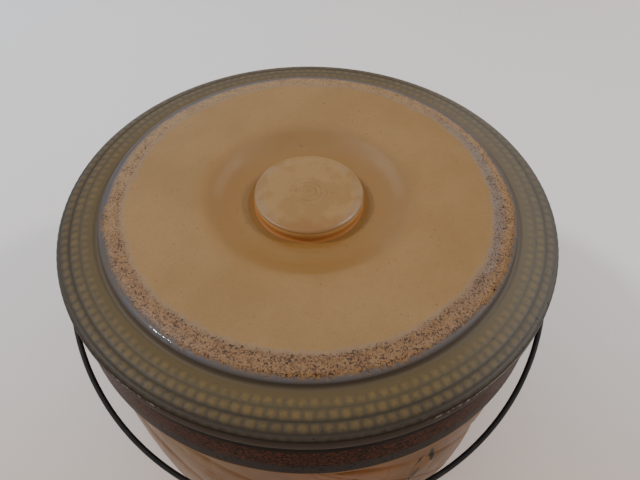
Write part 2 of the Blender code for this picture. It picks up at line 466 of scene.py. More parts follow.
def speckled_ring(shader, plate, radius, spread, right, front):
    """The ring of brown specks over peach, with a milky edge inside and blue-grey on the ridge."""
    fine = shader.math("MULTIPLY", shader.math("SUBTRACT", shader.noise(500.0, 3.0, 0.7), 0.5), 0.0045)
    ragged = shader.math("ADD", spread, fine)
    peach = shader.mix(shader.span(front, -0.3, 0.8), PEACH, PEACH_DEEP)
    plate = shader.mix(shader.band(ragged, 0.0745, 0.0830, 0.0018), plate, peach)
    inner_edge = shader.band(ragged, 0.0742, 0.0768, 0.0016)
    cool = shader.math("MULTIPLY", shader.span(right, 0.55, 0.98), inner_edge)
    halo = shader.math("MULTIPLY", shader.band(ragged, 0.0730, 0.0742, 0.0012), 0.30)
    plate = shader.mix(shader.math("MAXIMUM", shader.math("MULTIPLY", cool, 0.85), halo), plate, MILKY_GLAZE_AND_SHEEN)
    zone = shader.band(spread, 0.0750, 0.0816, 0.0034)
    clumps = shader.math("SUBTRACT", shader.noise(190.0, 4.0, 0.65), 0.5)
    amount = shader.math("MULTIPLY", zone, shader.math("ADD", 0.16, shader.math("MULTIPLY", front, 0.035)))
    amount = shader.math("ADD", amount, shader.math("MULTIPLY", clumps, 0.22))
    stain = shader.span(shader.math("ADD", shader.noise(700.0, 4.0, 0.7), amount), 0.58, 0.76)
    stain = shader.math("MULTIPLY", shader.math("MULTIPLY", stain, zone), 0.38)
    plate = shader.mix(stain, plate, STAIN)
    plate = shader.mix(speckles(shader, 1500.0, 0.69, 0.12, amount), plate, SPECK)
    plate = shader.mix(speckles(shader, 1150.0, 0.750, 0.06, amount), plate, SPECK_DEEP)
    stray = speckles(shader, 640.0, 0.695, 0.03, 0.0)
    plate = shader.mix(shader.math("MULTIPLY", stray, 0.55), plate, SPECK)
    inward = shader.math("MULTIPLY", shader.span(front, 0.2, -0.9), 0.0016)
    left_inward = shader.math("MULTIPLY", shader.span(right, -0.1, -0.8), 0.0012)
    ridge_place = shader.math("ADD", shader.math("ADD", ragged, inward), left_inward)
    ridge = shader.span(ridge_place, 0.0803, 0.0830)
    cooler = shader.span(shader.noise(60.0, 3.0, 0.6), 0.45, 0.62)
    grey = shader.mix(shader.math("MULTIPLY", cooler, 0.6), BLUE_GREY, BLUE_GREY_COOL)
    return shader.mix(ridge, plate, grey)


def beaded_band(shader, radius, right, front):
    """Tan bead tops in blue-grey gaps, with dark grooves between the rows, painted shade at the ridge's
    foot and a painted reflection of the room towards the sides and back.
    """
    raised = shader.attribute("raised")
    grooved = shader.attribute("grooved")
    fade = shader.span(shader.noise(22.0, 2.0), 0.3, 0.7)
    outward = shader.span(radius, 0.0870, 0.0985)
    # Partly darker glaze, partly painted shade: the band darkens towards the foot of the ridge.
    band = shader.mix(shader.span(radius, 0.0836, 0.0858), RIDGE_FOOT_GLAZE_AND_SHADE, OLIVE)
    gaps = shader.mix(outward, BEAD_GAP, BEAD_GAP_OUTER)
    band = shader.mix(shader.span(radius, 0.0862, 0.0882), band, gaps)
    smudge = shader.math("SUBTRACT", shader.noise(900.0, 3.0, 0.6), 0.5)
    tops = shader.math("ADD", raised, shader.math("MULTIPLY", smudge, 0.8))
    top_tint = shader.mix(outward, shader.mix(fade, BEAD_TOP, BEAD_TOP_FADED), BEAD_TOP_OUTER)
    band = shader.mix(shader.math("MULTIPLY", shader.span(tops, 0.0, 1.0), 0.9), band, top_tint)
    band = shader.mix(shader.math("MULTIPLY", shader.span(grooved, 0.10, 0.95), 0.9), band, BEAD_GROOVE)
    edge = shader.span(radius, 0.0945, 0.0998)
    band = shader.mix(shader.math("MULTIPLY", edge, 0.40), band, BAND_EDGE)
    # Painted reflection: the band is paled towards the right, left and back, standing in for the bright
    # room's sheen on the glaze.
    room_sheen_right = shader.math("MULTIPLY", shader.span(right, 0.35, 0.98), 0.24)
    room_sheen_left = shader.math("MULTIPLY", shader.span(right, -0.40, -0.98), 0.04)
    room_sheen_back = shader.math("MULTIPLY", shader.span(front, -0.20, -0.95), 0.09)
    cool = shader.math("ADD", shader.math("ADD", room_sheen_right, room_sheen_left), room_sheen_back)
    band = shader.mix(cool, band, BEAD_ROOM_SHEEN)
    dots = speckles(shader, 800.0, 0.70, 0.05, shader.math("MULTIPLY", edge, 0.07))
    return shader.mix(shader.math("MULTIPLY", dots, 0.8), band, SPECK_DARK)


def lid_glaze():
    """Tan on the plate, a speckled ring, and blue-grey over the beads, by radius."""
    shader = Shader("lid_glaze")
    radius = shader.radius()
    x, y, height = shader.axes()
    right = shader.math("DIVIDE", x, shader.math("MAXIMUM", radius, 0.001))
    front = shader.math("MULTIPLY", shader.math("DIVIDE", y, shader.math("MAXIMUM", radius, 0.001)), -1.0)
    wobble = shader.math("MULTIPLY", shader.math("SUBTRACT", shader.noise(40.0, 3.0), 0.5), 0.004)
    spread = shader.math("ADD", radius, wobble)
    cloud = shader.noise(24.0, 4.0, 0.6)
    mottle = shader.noise(300.0, 3.0, 0.6)

    plate = shader.mix(shader.span(cloud, 0.35, 0.65), TAN, TAN_PALE)
    plate = shader.mix(shader.math("MULTIPLY", shader.span(mottle, 0.45, 0.75), 0.22), plate, TAN_DEEP)
    grainy = shader.math("MULTIPLY", shader.span(shader.noise(1400.0, 3.0, 0.7), 0.40, 0.66), 0.22)
    plate = shader.mix(grainy, plate, TAN_GRAIN)
    plate = knob_and_well(shader, plate, radius, height, right, front)
    top = speckled_ring(shader, plate, radius, spread, right, front)

    # Painted shade: the ridge's steep outer step is darkened, as if in shadow.
    step = shader.math("MULTIPLY", shader.span(radius, 0.0826, 0.0831),
                       shader.span(height, LID_PLANE + 0.0050, LID_PLANE + 0.0040))
    top = shader.mix(shader.math("MULTIPLY", step, 0.8), top, RIDGE_STEP_SHADE)
    beyond = shader.span(radius, RIDGE_RADIUS, RIDGE_RADIUS + 0.0008)
    top = shader.mix(beyond, top, beaded_band(shader, radius, right, front))
    lip = shader.math("MULTIPLY", shader.span(height, LID_PLANE + 0.0003, LID_PLANE - 0.0008),
                      shader.span(radius, LIP_START_RADIUS, LIP_START_RADIUS + 0.0015))
    top = shader.mix(lip, top, LIP)
    # Painted highlight: a pale line along the top of the lip on the right side.
    lip_highlight = shader.math("MULTIPLY", shader.band(height, LID_PLANE - 0.0014, LID_PLANE - 0.0006, 0.0004),
                            shader.band(right, 0.62, 0.92, 0.10))
    lip_highlight = shader.math("MULTIPLY", lip_highlight, shader.math("MULTIPLY", lip, 0.6))
    top = shader.mix(lip_highlight, top, LIP_HIGHLIGHT)
    crease = shader.attribute("creased")
    top = shader.mix(crease, top, RIM_CREASE)

    seat = LID_PLANE + SEAT_RISE
    under = shader.math("MULTIPLY", shader.span(height, seat + 0.0006, seat + 0.0001),
                        shader.band(radius, RING_INNER, 0.0986, 0.0004))
    bare = shader.mix(shader.noise(300.0, 3.0), BARE_CLAY, BARE_CLAY_DARK)
    top = shader.mix(under, top, bare)

    shader.set("Base Color", top)
    above = shader.span(height, LID_PLANE + 0.0030, LID_PLANE + 0.0042)
    ridge_edge = shader.math("MULTIPLY", shader.span(radius, 0.0796, 0.0812), above)
    rim_edge = shader.math("MULTIPLY", shader.span(radius, 0.0988, 0.0994),
                           shader.band(height, LID_PLANE - 0.0019, LID_PLANE - 0.0010, 0.0004))
    broken = shader.span(shader.noise(700.0, 2.0, 0.5), 0.48, 0.56)
    left_run = shader.math("MULTIPLY", shader.band(right, -0.62, -0.47, 0.04), shader.span(front, 0.3, 0.6))
    right_run = shader.math("MULTIPLY", shader.band(right, 0.40, 0.55, 0.04), shader.span(front, 0.3, 0.6))
    runs = shader.math("ADD", left_run, shader.math("MULTIPLY", right_run, rim_edge))
    edges = shader.math("MAXIMUM", ridge_edge, rim_edge)
    glossy = shader.math("MULTIPLY", shader.math("MULTIPLY", runs, broken), edges)
    roughness = shader.math("ADD", 0.38, shader.math("MULTIPLY", glossy, -0.40))
    roughness = shader.math("ADD", roughness, shader.math("MULTIPLY", beyond, 0.12))
    roughness = shader.math("ADD", roughness, shader.math("MULTIPLY", shader.attribute("pooled"), -0.05))
    roughness = shader.math("ADD", roughness, shader.math("MULTIPLY", under, 0.45))
    matt_ridge = shader.math("MULTIPLY", ridge_edge, 0.42)
    matt = shader.math("MAXIMUM", shader.math("MULTIPLY", beyond, 0.30), matt_ridge)
    foot = shader.math("MULTIPLY", shader.band(radius, 0.0214, 0.0246, 0.0010),
                       shader.span(height, LID_PLANE + 0.0040, LID_PLANE + 0.0030))
    matt = shader.math("MAXIMUM", matt, shader.math("MULTIPLY", foot, 0.40))
    sheen = shader.math("SUBTRACT", 0.5, matt)
    sheen = shader.math("SUBTRACT", sheen, shader.math("MULTIPLY", lip, 0.14))
    shader.set("Specular IOR Level", shader.math("ADD", sheen, shader.math("MULTIPLY", glossy, 0.35)))
    glaze_finish(shader, roughness)
    return shader.material


def crock_glaze():
    """Tan and amber on the body, iron brown over dark grey on the collar, bare clay under the base. A
    painted shadow darkens the collar under the lid, and the body's side streaks carry painted light on the
    left and painted shade on the right.
    """
    shader = Shader("crock_glaze")
    pooled = shader.attribute("pooled")
    brushed = shader.attribute("brushed")
    radius = shader.radius()
    x, _, height = shader.axes()
    right = shader.math("DIVIDE", x, shader.math("MAXIMUM", radius, 0.001))
    cloud = shader.noise(24.0, 4.0, 0.6)
    streaks = shader.noise(60.0, 3.0, 0.6, (1.0, 1.0, 0.35))

    body = shader.mix(shader.span(cloud, 0.35, 0.65), BODY_PALE, BODY_TAN)
    body = shader.mix(shader.math("MULTIPLY", shader.span(streaks, 0.45, 0.7), 0.45), body, TAN_DEEP)
    mottled = shader.math("MULTIPLY", shader.span(shader.noise(420.0, 3.0, 0.7), 0.42, 0.62), 0.55)
    amber_patch = shader.span(shader.noise(17.0, 2.0, 0.5), 0.55, 0.63)
    body = shader.mix(shader.math("MULTIPLY", amber_patch, 0.45), body, AMBER_PATCH)
    body = shader.mix(shader.math("MULTIPLY", amber_patch, mottled), body, AMBER)
    creases = shader.math("MULTIPLY", shader.span(pooled, 0.05, 0.9), 0.8)
    body = shader.mix(creases, body, AMBER_CREASE)
    streaky = shader.span(streaks, 0.66, 0.42)
    # Partly glaze runs, partly painted light and shade: the streaks are painted pale on the left side and
    # darker on the right side.
    left_run = shader.math("MULTIPLY", shader.span(right, -0.15, -0.50), streaky)
    body = shader.mix(shader.math("MULTIPLY", left_run, 0.75), body, BODY_RUN_AND_LIGHT_LEFT)
    right_run = shader.math("MULTIPLY", shader.span(right, 0.30, 0.60), streaky)
    body = shader.mix(shader.math("MULTIPLY", right_run, 0.50), body, BODY_RUN_AND_SHADE_RIGHT)
    body = shader.mix(speckles(shader, 800.0, 0.76, 0.02, 0.0), body, SPECK)
    body = shader.mix(shader.span(brushed, 0.25, 0.75), body, BRUSHED)

    wobble = shader.math("MULTIPLY", shader.math("SUBTRACT", shader.noise(50.0, 3.0), 0.5), 0.007)
    level = shader.math("ADD", height, wobble)
    collar = shader.mix(shader.span(level, 0.0950, 0.0990), COLLAR_BLUE, IRON)
    rusty = shader.math("MULTIPLY", shader.span(height, 0.0940, 0.0990), 0.17)
    collar = shader.mix(speckles(shader, 950.0, 0.63, 0.10, rusty), collar, RUST)
    collar = shader.mix(speckles(shader, 620.0, 0.62, 0.06, 0.03), collar, COLLAR_SPOT)
    # Painted shadow: the collar's top, under the lid's lip, is turned nearly black.
    collar = shader.mix(shader.span(height, 0.1070, 0.1095), collar, COLLAR_LID_SHADOW)
    edge = shader.span(shader.math("ADD", height, shader.math("MULTIPLY", wobble, 0.15)),
                       COLLAR_BOTTOM + 0.0022, COLLAR_BOTTOM + 0.0010)
    collar = shader.mix(shader.math("MULTIPLY", edge, 0.85), collar, CREAM)
    outside = shader.span(radius, SHOULDER_RADIUS + 0.0002, SHOULDER_RADIUS + 0.0010)
    on_collar = shader.math("MULTIPLY", outside, shader.span(height, COLLAR_BOTTOM - 0.0012, COLLAR_BOTTOM))
    surface = shader.mix(on_collar, body, collar)

    bare_share = shader.span(height, 0.0022, 0.0012)
    bare = shader.mix(shader.noise(260.0, 4.0), BARE_CLAY, BASE_CLAY_DARK)
    surface = shader.mix(bare_share, surface, bare)
    rim_bare = shader.span(height, RIM_HEIGHT - 0.0014, RIM_HEIGHT - 0.0006)
    surface = shader.mix(rim_bare, surface, bare)
    shader.set("Base Color", surface)
    matt = shader.math("MULTIPLY", shader.math("MAXIMUM", bare_share, rim_bare), 0.5)
    dulled = shader.math("MULTIPLY", on_collar, 0.07)
    shader.set("Specular IOR Level", shader.math("SUBTRACT", 0.08, dulled))
    glaze_finish(shader, shader.math("ADD", matt, 0.30))
    return shader.material


def wire_lacquer():
    """Black lacquer on drawn steel, rubbed brown and rusty in places."""
    shader = Shader("wire_lacquer")
    rubbed = shader.noise(220.0, 4.0, 0.7)
    coat = shader.mix(shader.span(rubbed, 0.50, 0.75), LACQUER, LACQUER_RUBBED)
    shader.set("Base Color", coat)
    shader.set("Metallic", 0.2)
    shader.set("Roughness", shader.math("ADD", shader.math("MULTIPLY", rubbed, 0.35), 0.25))
    fine = shader.noise(1800.0, 3.0, 0.6)
    coarse = shader.noise(300.0, 3.0, 0.6)
    shader.set("Normal", shader.bump(fine, 0.00004, 1.0, shader.bump(coarse, 0.00012)))
    return shader.material


# ---------------------------------------------------------------- lid

def lid_top_outline():
    """The lid from the knob's middle to the foot of the shoulder ridge, as (radius, rise)."""
    knob_side = KNOB_RADIUS - 0.0005
    points = [(0.0006, KNOB_RISE - 0.0003), (0.0100, KNOB_RISE - 0.0002), (0.0178, KNOB_RISE - 0.0001)]
    points += [(0.0196, KNOB_RISE - 0.0003), (0.0214, KNOB_RISE - 0.0005)]
    points += [(KNOB_RADIUS - 0.0002, KNOB_RISE - 0.0008), (KNOB_RADIUS, KNOB_RISE - 0.0014)]
    points += [(KNOB_RADIUS, KNOB_RISE - 0.0032), (knob_side, WELL_RISE + 0.0018)]
    points += [(knob_side, WELL_RISE + 0.0004), (KNOB_RADIUS + 0.0008, WELL_RISE - 0.0001)]
    points += [(0.0265, WELL_RISE), (0.0320, WELL_RISE + 0.0003), (0.0375, WELL_RISE + 0.0026)]
    points += [(0.0425, PLATE_RISE - 0.0006), (0.0490, PLATE_RISE), (0.0600, PLATE_RISE + 0.0001)]
    points += [(0.0730, PLATE_RISE - 0.0001), (0.0775, PLATE_RISE - 0.0005), (0.0805, PLATE_RISE - 0.0010)]
    points += [(0.0824, PLATE_RISE - 0.0014), (0.0832, PLATE_RISE - 0.0022), (0.0834, PLATE_RISE - 0.0034)]
    points += [(0.0838, 0.0026), (0.0848, 0.0023)]
    return points


def bead_band_outline():
    """The beaded flange, from the groove out over the rounded edge to the lid's widest circle."""
    points = [(0.0848, 0.0023), (0.0866, 0.0025), (0.0885, 0.0028), (0.0925, 0.0024), (0.0965, 0.0018)]
    points += [(0.0988, 0.0010), (LID_RADIUS, -0.0002), (LID_RADIUS + 0.0002, -0.0014)]
    return points


def lid_underside_outline():
    """From the widest circle down the lip, under the seat and the locating ring, to the middle."""
    points = [(LID_RADIUS + 0.0002, -0.0014), (LID_RADIUS + 0.0002, -0.0034)]
    points += [(LID_RADIUS, SEAT_RISE - 0.0002), (LID_RADIUS - 0.0002, SEAT_RISE - 0.0007)]
    points += [(LID_RADIUS - 0.0008, SEAT_RISE - 0.0004), (LID_RADIUS - 0.0016, SEAT_RISE)]
    points += [(0.0960, SEAT_RISE), (RING_OUTER + 0.0012, SEAT_RISE)]
    points += [(RING_OUTER, SEAT_RISE - 0.0003), (RING_OUTER, RING_BOTTOM_RISE + 0.0010)]
    points += [(RING_OUTER - 0.0008, RING_BOTTOM_RISE), (RING_INNER + 0.0008, RING_BOTTOM_RISE)]
    points += [(RING_INNER, RING_BOTTOM_RISE + 0.0010), (RING_INNER - 0.0003, -0.0020)]
    points += [(RING_INNER - 0.0016, 0.0), (0.0700, 0.0), (0.0480, 0.0), (0.0440, -0.0008)]
    points += [(0.0390, -0.0046), (0.0350, -0.0054), (0.0200, -0.0054), (0.0006, -0.0054)]
    return points


def bead_relief(along, angle, unevenness):
    """The moulded beads at one distance along the band: height, bead tops and grooves.

    The height is 0 on a bead's top and goes down to -1 in the deepest groove.
    """
    row_place = np.clip(along / BEAD_ROW_PITCH, 0.0, BEAD_ROWS - 0.001)
    row = int(row_place)
    off_row = row_place - row - 0.5
    turn = angle * BEAD_COUNT / math.tau + 0.05 * np.sin(7 * angle + row) + 0.5 * (row % 2)
    bead = np.floor(turn).astype(int) % BEAD_COUNT
    off_bead = turn - np.floor(turn) - 0.5
    strength = ROW_STRENGTH[row] * unevenness[row, bead]
    groove = GROOVE_STRENGTH[row if off_row < 0 else row + 1]
    valley = 1.0 - math.cos(math.pi * off_row) ** 0.8
    gap = 1.0 - np.abs(np.cos(math.pi * off_bead)) ** 0.8
    height = -np.maximum(valley * groove, 0.55 * gap * strength * (1.0 - valley))
    across = (np.abs(off_bead) / 0.42) ** 2.4 + (abs(off_row) / 0.38) ** 2.4
    raised = np.exp(-across) * strength
    grooved = groove * max(0.0, valley) ** 1.6 * (0.85 + 0.15 * gap)
    return height, raised, grooved


def build_lid():
    turned = TurnedMesh(("pooled", "raised", "grooved", "creased"))
    turned.ring(None, LID_PLANE + KNOB_RISE - 0.0004, 1)
    top = respaced(corner_cut(lid_top_outline(), 2), 0.0005)
    for radius, rise in top:
        steps = SPARSE_STEPS if radius < 0.012 else COARSE_STEPS
        angle = ring_angles(steps)
        sag = 0.00012 * wander(angle, radius, 5)
        on_top = 1.0 if radius < 0.0215 and rise > KNOB_RISE - 0.0016 else 0.0
        near_middle = math.exp(-(radius / 0.0085) ** 4)
        turning = 0.00009 * math.sin(radius / 0.0020 * math.tau) * on_top * near_middle
        chipped = 0.00034 * on_top * smooth_step((radius - 0.0165) / 0.003) * wander(angle, radius, 8, 5)
        low = float(rise < KNOB_RISE - 0.0020)
        crease = 0.12 * math.exp(-((radius - 0.0221) / 0.0010) ** 2) * float(rise < WELL_RISE + 0.0008)
        glow = 0.30 * math.exp(-((radius - 0.0225) / 0.0048) ** 2) * low
        height = LID_PLANE + rise + sag + turning + chipped
        turned.ring(radius, height, steps, pooled=min(1.0, crease + glow))

    draw = np.random.default_rng(21)
    unevenness = draw.uniform(0.70, 1.05, (BEAD_ROWS, BEAD_COUNT))
    band = respaced(corner_cut(bead_band_outline(), 2), 0.00036)
    normals = outward_normals(band)
    lengths = np.linalg.norm(np.diff(band, axis=0), axis=1)
    along = np.concatenate([[0.0], np.cumsum(lengths)]) - (BEAD_BAND_START - band[0, 0])
    angle = ring_angles(FINE_STEPS)
    for index in range(1, len(band)):
        starting = float(smooth_step((along[index] + 0.0004) / 0.0012))
        relief, raised, grooved = bead_relief(max(0.0, along[index]), angle, unevenness)
        lift = relief * BEAD_HEIGHT * starting
        radius = band[index, 0] + normals[index, 0] * lift
        rise = band[index, 1] + normals[index, 1] * lift + 0.00012 * wander(angle, 0.085, 5)
        edge = math.exp(-((band[index, 1] + 0.0004) / 0.00040) ** 2) * float(band[index, 0] > 0.0990)
        turned.ring(radius, LID_PLANE + rise, FINE_STEPS, raised=raised * starting,
                    grooved=grooved * starting, creased=0.75 * edge)

    under = respaced(corner_cut(lid_underside_outline(), 2), 0.0009)
    for radius, rise in under[1:]:
        steps = SPARSE_STEPS if radius < 0.012 else COARSE_STEPS
        turned.ring(radius, LID_PLANE + rise, steps)
    turned.ring(None, LID_PLANE - 0.0054, 1)
    lid = turned.build("lid_beaded")
    lid.data.materials.append(lid_glaze())
    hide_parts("lid")
    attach(lid, "lid")
    return lid


# ---------------------------------------------------------------- crock

def body_radius(height):
    share = np.minimum(1.0, height / SHOULDER_HEIGHT)
    return BASE_RADIUS + (SHOULDER_RADIUS - BASE_RADIUS) * (1.0 - (1.0 - share) ** BODY_FLARE)


def crock_inside_outline():
    """From the floor's middle up the inside wall and over the rim, as (radius, height)."""
    points = [(0.0006, FLOOR_THICKNESS), (0.0400, FLOOR_THICKNESS), (0.0700, FLOOR_THICKNESS)]
    points += [(0.0775, FLOOR_THICKNESS + 0.0012), (0.0825, FLOOR_THICKNESS + 0.0045)]
    points += [(0.0840, FLOOR_THICKNESS + 0.0110)]
    for height in (0.030, 0.045, 0.060, 0.075, SHOULDER_HEIGHT):
        points.append((float(body_radius(height)) - WALL_THICKNESS, height))
    points += [(MOUTH_RADIUS - 0.0002, MOUTH_BOTTOM - 0.002), (MOUTH_RADIUS, MOUTH_BOTTOM + 0.002)]
    points += [(MOUTH_RADIUS, RIM_HEIGHT - 0.0022), (MOUTH_RADIUS + 0.0003, RIM_HEIGHT - 0.0006)]
    points += [(MOUTH_RADIUS + 0.0020, RIM_HEIGHT), (COLLAR_RADIUS - 0.0020, RIM_HEIGHT)]
    points += [(COLLAR_RADIUS - 0.0003, RIM_HEIGHT - 0.0006), (COLLAR_RADIUS, RIM_HEIGHT - 0.0022)]
    return points


def crock_collar_outline():
    return [
        (COLLAR_RADIUS, RIM_HEIGHT - 0.0022),
        (COLLAR_RADIUS, 0.1050),
        (COLLAR_RADIUS + 0.0002, COLLAR_BOTTOM + 0.0016),
        (COLLAR_RADIUS + 0.0002, COLLAR_BOTTOM + 0.0002),
        (COLLAR_RADIUS - 0.0010, COLLAR_BOTTOM - 0.0004),
        (SHOULDER_RADIUS + 0.0002, COLLAR_BOTTOM - 0.0008),
        (SHOULDER_RADIUS, SHOULDER_HEIGHT),
    ]


def leaf_relief(angle, height):
    """Broad leaves that sweep up the body in a spiral: their relief, and where glaze pools."""
    leaf_count = 9
    rise = (height - 0.008) / 0.074
    inside = (rise > 0) & (rise < 1)
    rise = np.clip(rise, 0.0, 1.0)
    sweep = 0.55 * rise + 0.20 * rise ** 2
    relief = np.zeros_like(angle)
    pooled = np.zeros_like(angle)
    spacing = math.tau / leaf_count
    local = (angle + sweep + math.pi / 2 + 0.25) % spacing / spacing - 0.5
    width = 0.46 * np.sin(math.pi * np.clip(rise, 0.02, 0.98) ** 0.8) ** 0.6
    across = np.abs(local) / np.maximum(width, 0.02)
    leaf = np.clip(1.0 - across ** 2.2, 0.0, 1.0)
    relief += np.sqrt(leaf) * inside
    rib = np.exp(-((local * spacing) / 0.009) ** 2)
    veins = np.abs(np.sin(math.pi * (rise * 7.0 - np.abs(local) * 5.5)))
    vein_line = np.exp(-(veins / 0.20) ** 2) * (across < 0.92)
    relief -= 0.30 * rib * (leaf > 0) * inside
    relief -= 0.16 * vein_line * inside
    border = np.exp(-((across - 1.02) / 0.07) ** 2)
    pooled += inside * np.clip(0.85 * border + 0.55 * rib * (leaf > 0) + 0.32 * vein_line, 0, 1)
    return relief, pooled


def brush_strokes(angle, height):
    """Dark strokes of a brush, a stem and two leaves to a spray, at four places round the body."""
    strength = np.zeros_like(angle)
    sprays = 4
    around = (angle + math.pi / 2 - 0.49 + math.pi / sprays) % (math.tau / sprays) - math.pi / sprays
    place = around * SHOULDER_RADIUS
    for start, end, thick in (
        ((-0.0070, 0.0200), (-0.0052, 0.0460), 0.0009),
        ((-0.0052, 0.0460), (-0.0020, 0.0565), 0.0012),
        ((-0.0045, 0.0630), (-0.0003, 0.0680), 0.0007),
        ((0.0048, 0.0560), (0.0024, 0.0703), 0.0013),
    ):
        across = np.array(end) - np.array(start)
        share = ((place - start[0]) * across[0] + (height - start[1]) * across[1]) / (across @ across)
        share = np.clip(share, 0.0, 1.0)
        off = np.hypot(place - start[0] - share * across[0], height - start[1] - share * across[1])
        body = thick * (0.35 + 0.65 * np.sin(math.pi * np.clip(share, 0.06, 0.94)))
        strength = np.maximum(strength, smooth_step((body - off) / 0.0006 + 0.5))
    return strength


def build_crock():
    turned = TurnedMesh(("pooled", "brushed"))
    turned.ring(None, FLOOR_THICKNESS, 1)
    inside = respaced(corner_cut(crock_inside_outline(), 2), 0.0016)
    for radius, height in inside:
        turned.ring(radius, height, CROCK_STEPS // 4 if radius < 0.02 else CROCK_STEPS)
    collar = respaced(corner_cut(crock_collar_outline(), 2), 0.0006)
    angle = ring_angles(CROCK_STEPS)
    for radius, height in collar[1:]:
        uneven = 0.00012 * wander(angle, height, 11)
        turned.ring(radius + uneven, height, CROCK_STEPS)
    for height in np.arange(SHOULDER_HEIGHT - 0.0006, 0.0035, -0.0006):
        relief, pooled = leaf_relief(angle, np.full_like(angle, height))
        edge = smooth_step((SHOULDER_HEIGHT - height) / 0.004)
        radius = body_radius(height) + (relief * 0.0010 - 0.0004) * edge
        strokes = brush_strokes(angle, np.full_like(angle, height))
        turned.ring(radius, height, CROCK_STEPS, pooled=pooled * edge, brushed=strokes)
    base = [(float(body_radius(0.0035)), 0.0035), (0.0920, 0.0012), (0.0910, 0.0003), (0.0892, 0.0)]
    base += [(0.0700, 0.0), (0.0300, 0.0), (0.0006, 0.0)]
    for radius, height in respaced(corner_cut(base, 2), 0.0012)[1:]:
        turned.ring(radius, height, CROCK_STEPS // 4 if radius < 0.02 else CROCK_STEPS)
    turned.ring(None, 0.0, 1)
    crock = turned.build("crock_moulded")
    add_ears(crock)
    crock.data.materials.clear()
    crock.data.materials.append(crock_glaze())
    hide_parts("crock")
    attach(crock, "crock")
    return crock


def ear_outline():
    """An ear's outline about its own axis, from inside the wall out to its face and into the socket."""
    points = [(0.0, EAR_ROOT_X), (EAR_ROOT_RADIUS + 0.0012, EAR_ROOT_X)]
    points += [(EAR_ROOT_RADIUS - 0.0002, 0.0965), (EAR_FACE_RADIUS + 0.0014, 0.0990)]
    points += [(EAR_FACE_RADIUS + 0.0002, EAR_FACE_X - 0.0014), (EAR_FACE_RADIUS - 0.0012, EAR_FACE_X)]
    points += [(SOCKET_RADIUS + 0.0012, EAR_FACE_X), (SOCKET_RADIUS + 0.0001, EAR_FACE_X - 0.0008)]
    points += [(SOCKET_RADIUS, EAR_FACE_X - 0.0030), (SOCKET_RADIUS, SOCKET_BOTTOM_X)]
    points += [(0.0, SOCKET_BOTTOM_X)]
    return points


def turned_operand(name, outline, steps, side):
    """A closed shape turned about the bail's hinge line, for a Boolean."""
    mesh = bpy.data.meshes.new(name)
    shape = bmesh.new()
    rings = []
    for radius, along in outline:
        if radius < 1e-6:
            rings.append([shape.verts.new((side * along, 0.0, PIVOT.z))])
            continue
        ring = []
        for angle in ring_angles(steps):
            place = (side * along, radius * math.cos(angle), PIVOT.z + radius * math.sin(angle))
            ring.append(shape.verts.new(place))
        rings.append(ring)
    for inner, outer in zip(rings, rings[1:]):
        for index in range(steps):
            after = (index + 1) % steps
            corners = [inner[index % len(inner)], outer[index % len(outer)]]
            corners += [outer[after % len(outer)], inner[after % len(inner)]]
            shape.faces.new(list(dict.fromkeys(corners)))
    bmesh.ops.recalc_face_normals(shape, faces=shape.faces)
    shape.to_mesh(mesh)
    shape.free()
    mesh.shade_smooth()
    operand = bpy.data.objects.new(name, mesh)
    bpy.context.scene.collection.objects.link(operand)
    return operand


def add_ears(crock):
    """Joins an ear to each side of the crock, and softens the joint as wiped clay is."""
    ear_points = ear_outline()
    solid_end = next(i for i, point in enumerate(ear_points) if point[1] == EAR_FACE_X)
    lug = respaced(corner_cut(ear_points[1:solid_end + 2], 2), 0.0007).tolist()
    lug = [ear_points[0], ear_points[1]] + lug[1:] + [(0.0, EAR_FACE_X)]
    hole_start_x = EAR_FACE_X + 0.003
    hole = [(0.0, hole_start_x), (SOCKET_RADIUS, hole_start_x)]
    hole += [(SOCKET_RADIUS, SOCKET_BOTTOM_X), (0.0, SOCKET_BOTTOM_X)]
    for side in (-1, 1):
        for operation, outline in (("UNION", lug), ("DIFFERENCE", hole)):
            operand = turned_operand("operand", outline, 48, side)
            modifier = crock.modifiers.new("Join", "BOOLEAN")
            modifier.operation = operation
            modifier.object = operand
            depsgraph = bpy.context.evaluated_depsgraph_get()
            joined = bpy.data.meshes.new_from_object(crock.evaluated_get(depsgraph))
            crock.modifiers.clear()
            crock.data = joined
            bpy.data.objects.remove(operand)
    crock.data.shade_smooth()


# ---------------------------------------------------------------- bail

def bail_bow(across):
    """How far the bow reaches from the hinge line at a place across the bail."""
    ellipse = math.sqrt(max(0.0, 1.0 - (across / BAIL_HALF_WIDTH) ** 2))
    return BAIL_LEG + (BAIL_REACH - BAIL_LEG) * ellipse


def bail_path():
    """Points along the wire: across, and away from the hinge line."""
    half = [(BAIL_END_X, 0.0), (0.0955, 0.0), (0.0980, 0.0)]
    hook_centre = (BAIL_HALF_WIDTH - BAIL_HOOK_RADIUS, BAIL_HOOK_RADIUS)
    half += arc(hook_centre, BAIL_HOOK_RADIUS, -90, 0, 10)
    half += [(BAIL_HALF_WIDTH, BAIL_LEG * 0.4), (BAIL_HALF_WIDTH, BAIL_LEG * 0.7)]
    steps = 90
    for step in range(steps):
        across = BAIL_HALF_WIDTH * math.cos(math.pi / 2 * step / steps)
        half.append((across, bail_bow(across)))
    other_half = [(-across, reach) for across, reach in reversed(half)]
    return half + [(0.0, BAIL_REACH)] + other_half


